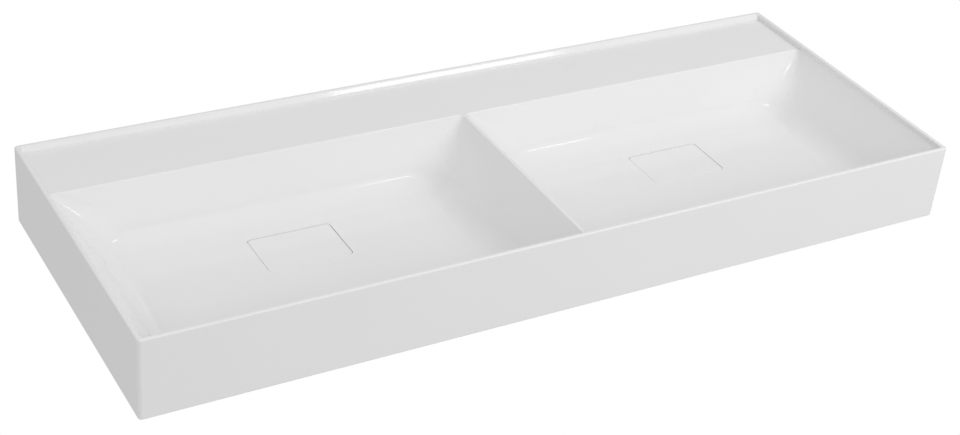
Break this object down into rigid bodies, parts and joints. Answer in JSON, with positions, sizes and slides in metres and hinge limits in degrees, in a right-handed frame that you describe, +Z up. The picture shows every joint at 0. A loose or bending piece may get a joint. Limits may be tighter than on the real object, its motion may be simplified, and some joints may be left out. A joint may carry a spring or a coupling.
{
  "type": "double washbasin",
  "caption": "Wall-hung rectangular double washbasin in glazed ceramic, with a thin rim, a rear ledge, sloped bowls and lift-off covers over the free-flow wastes.",
  "frame": {"origin": "on the flat back, at its middle along the wall and on the line of the wall bolts", "axes": "+Z up, +X along the wall to the user's right, +Y into the wall, the user at -Y"},
  "size_m": [1.2, 0.46, 0.1787],
  "materials": {
    "glaze": "glossy white glaze",
    "nylon": "satin",
    "chrome": "polished",
    "brass": "satin",
    "seal_rubber": "matte",
    "foot_rubber": "matte",
    "washer_plastic": "satin",
    "carrier_plastic": "satin"
  },
  "bodies": {
    "root": {"basin": "glaze", "wall_bushes": "nylon", "left_waste_body": "chrome", "left_flange_seal": "seal_rubber", "left_lower_seal": "seal_rubber", "left_slip_washer": "washer_plastic", "left_backnut": "brass", "right_waste_body": "chrome", "right_flange_seal": "seal_rubber", "right_lower_seal": "seal_rubber", "right_slip_washer": "washer_plastic", "right_backnut": "brass"},
    "left_cover": {"left_cover_plate": "glaze", "left_cover_carrier": "carrier_plastic", "left_stem_ring": "seal_rubber", "left_cover_feet": "foot_rubber"},
    "right_cover": {"right_cover_plate": "glaze", "right_cover_carrier": "carrier_plastic", "right_stem_ring": "seal_rubber", "right_cover_feet": "foot_rubber"}
  },
  "joints": [
    {"name": "left_cover_lift", "type": "slide", "parent": "root", "child": "left_cover", "axis": [0, 0, 1], "range_m": [0, 0.15]},
    {"name": "right_cover_lift", "type": "slide", "parent": "root", "child": "right_cover", "axis": [0, 0, 1], "range_m": [0, 0.15]}
  ]
}
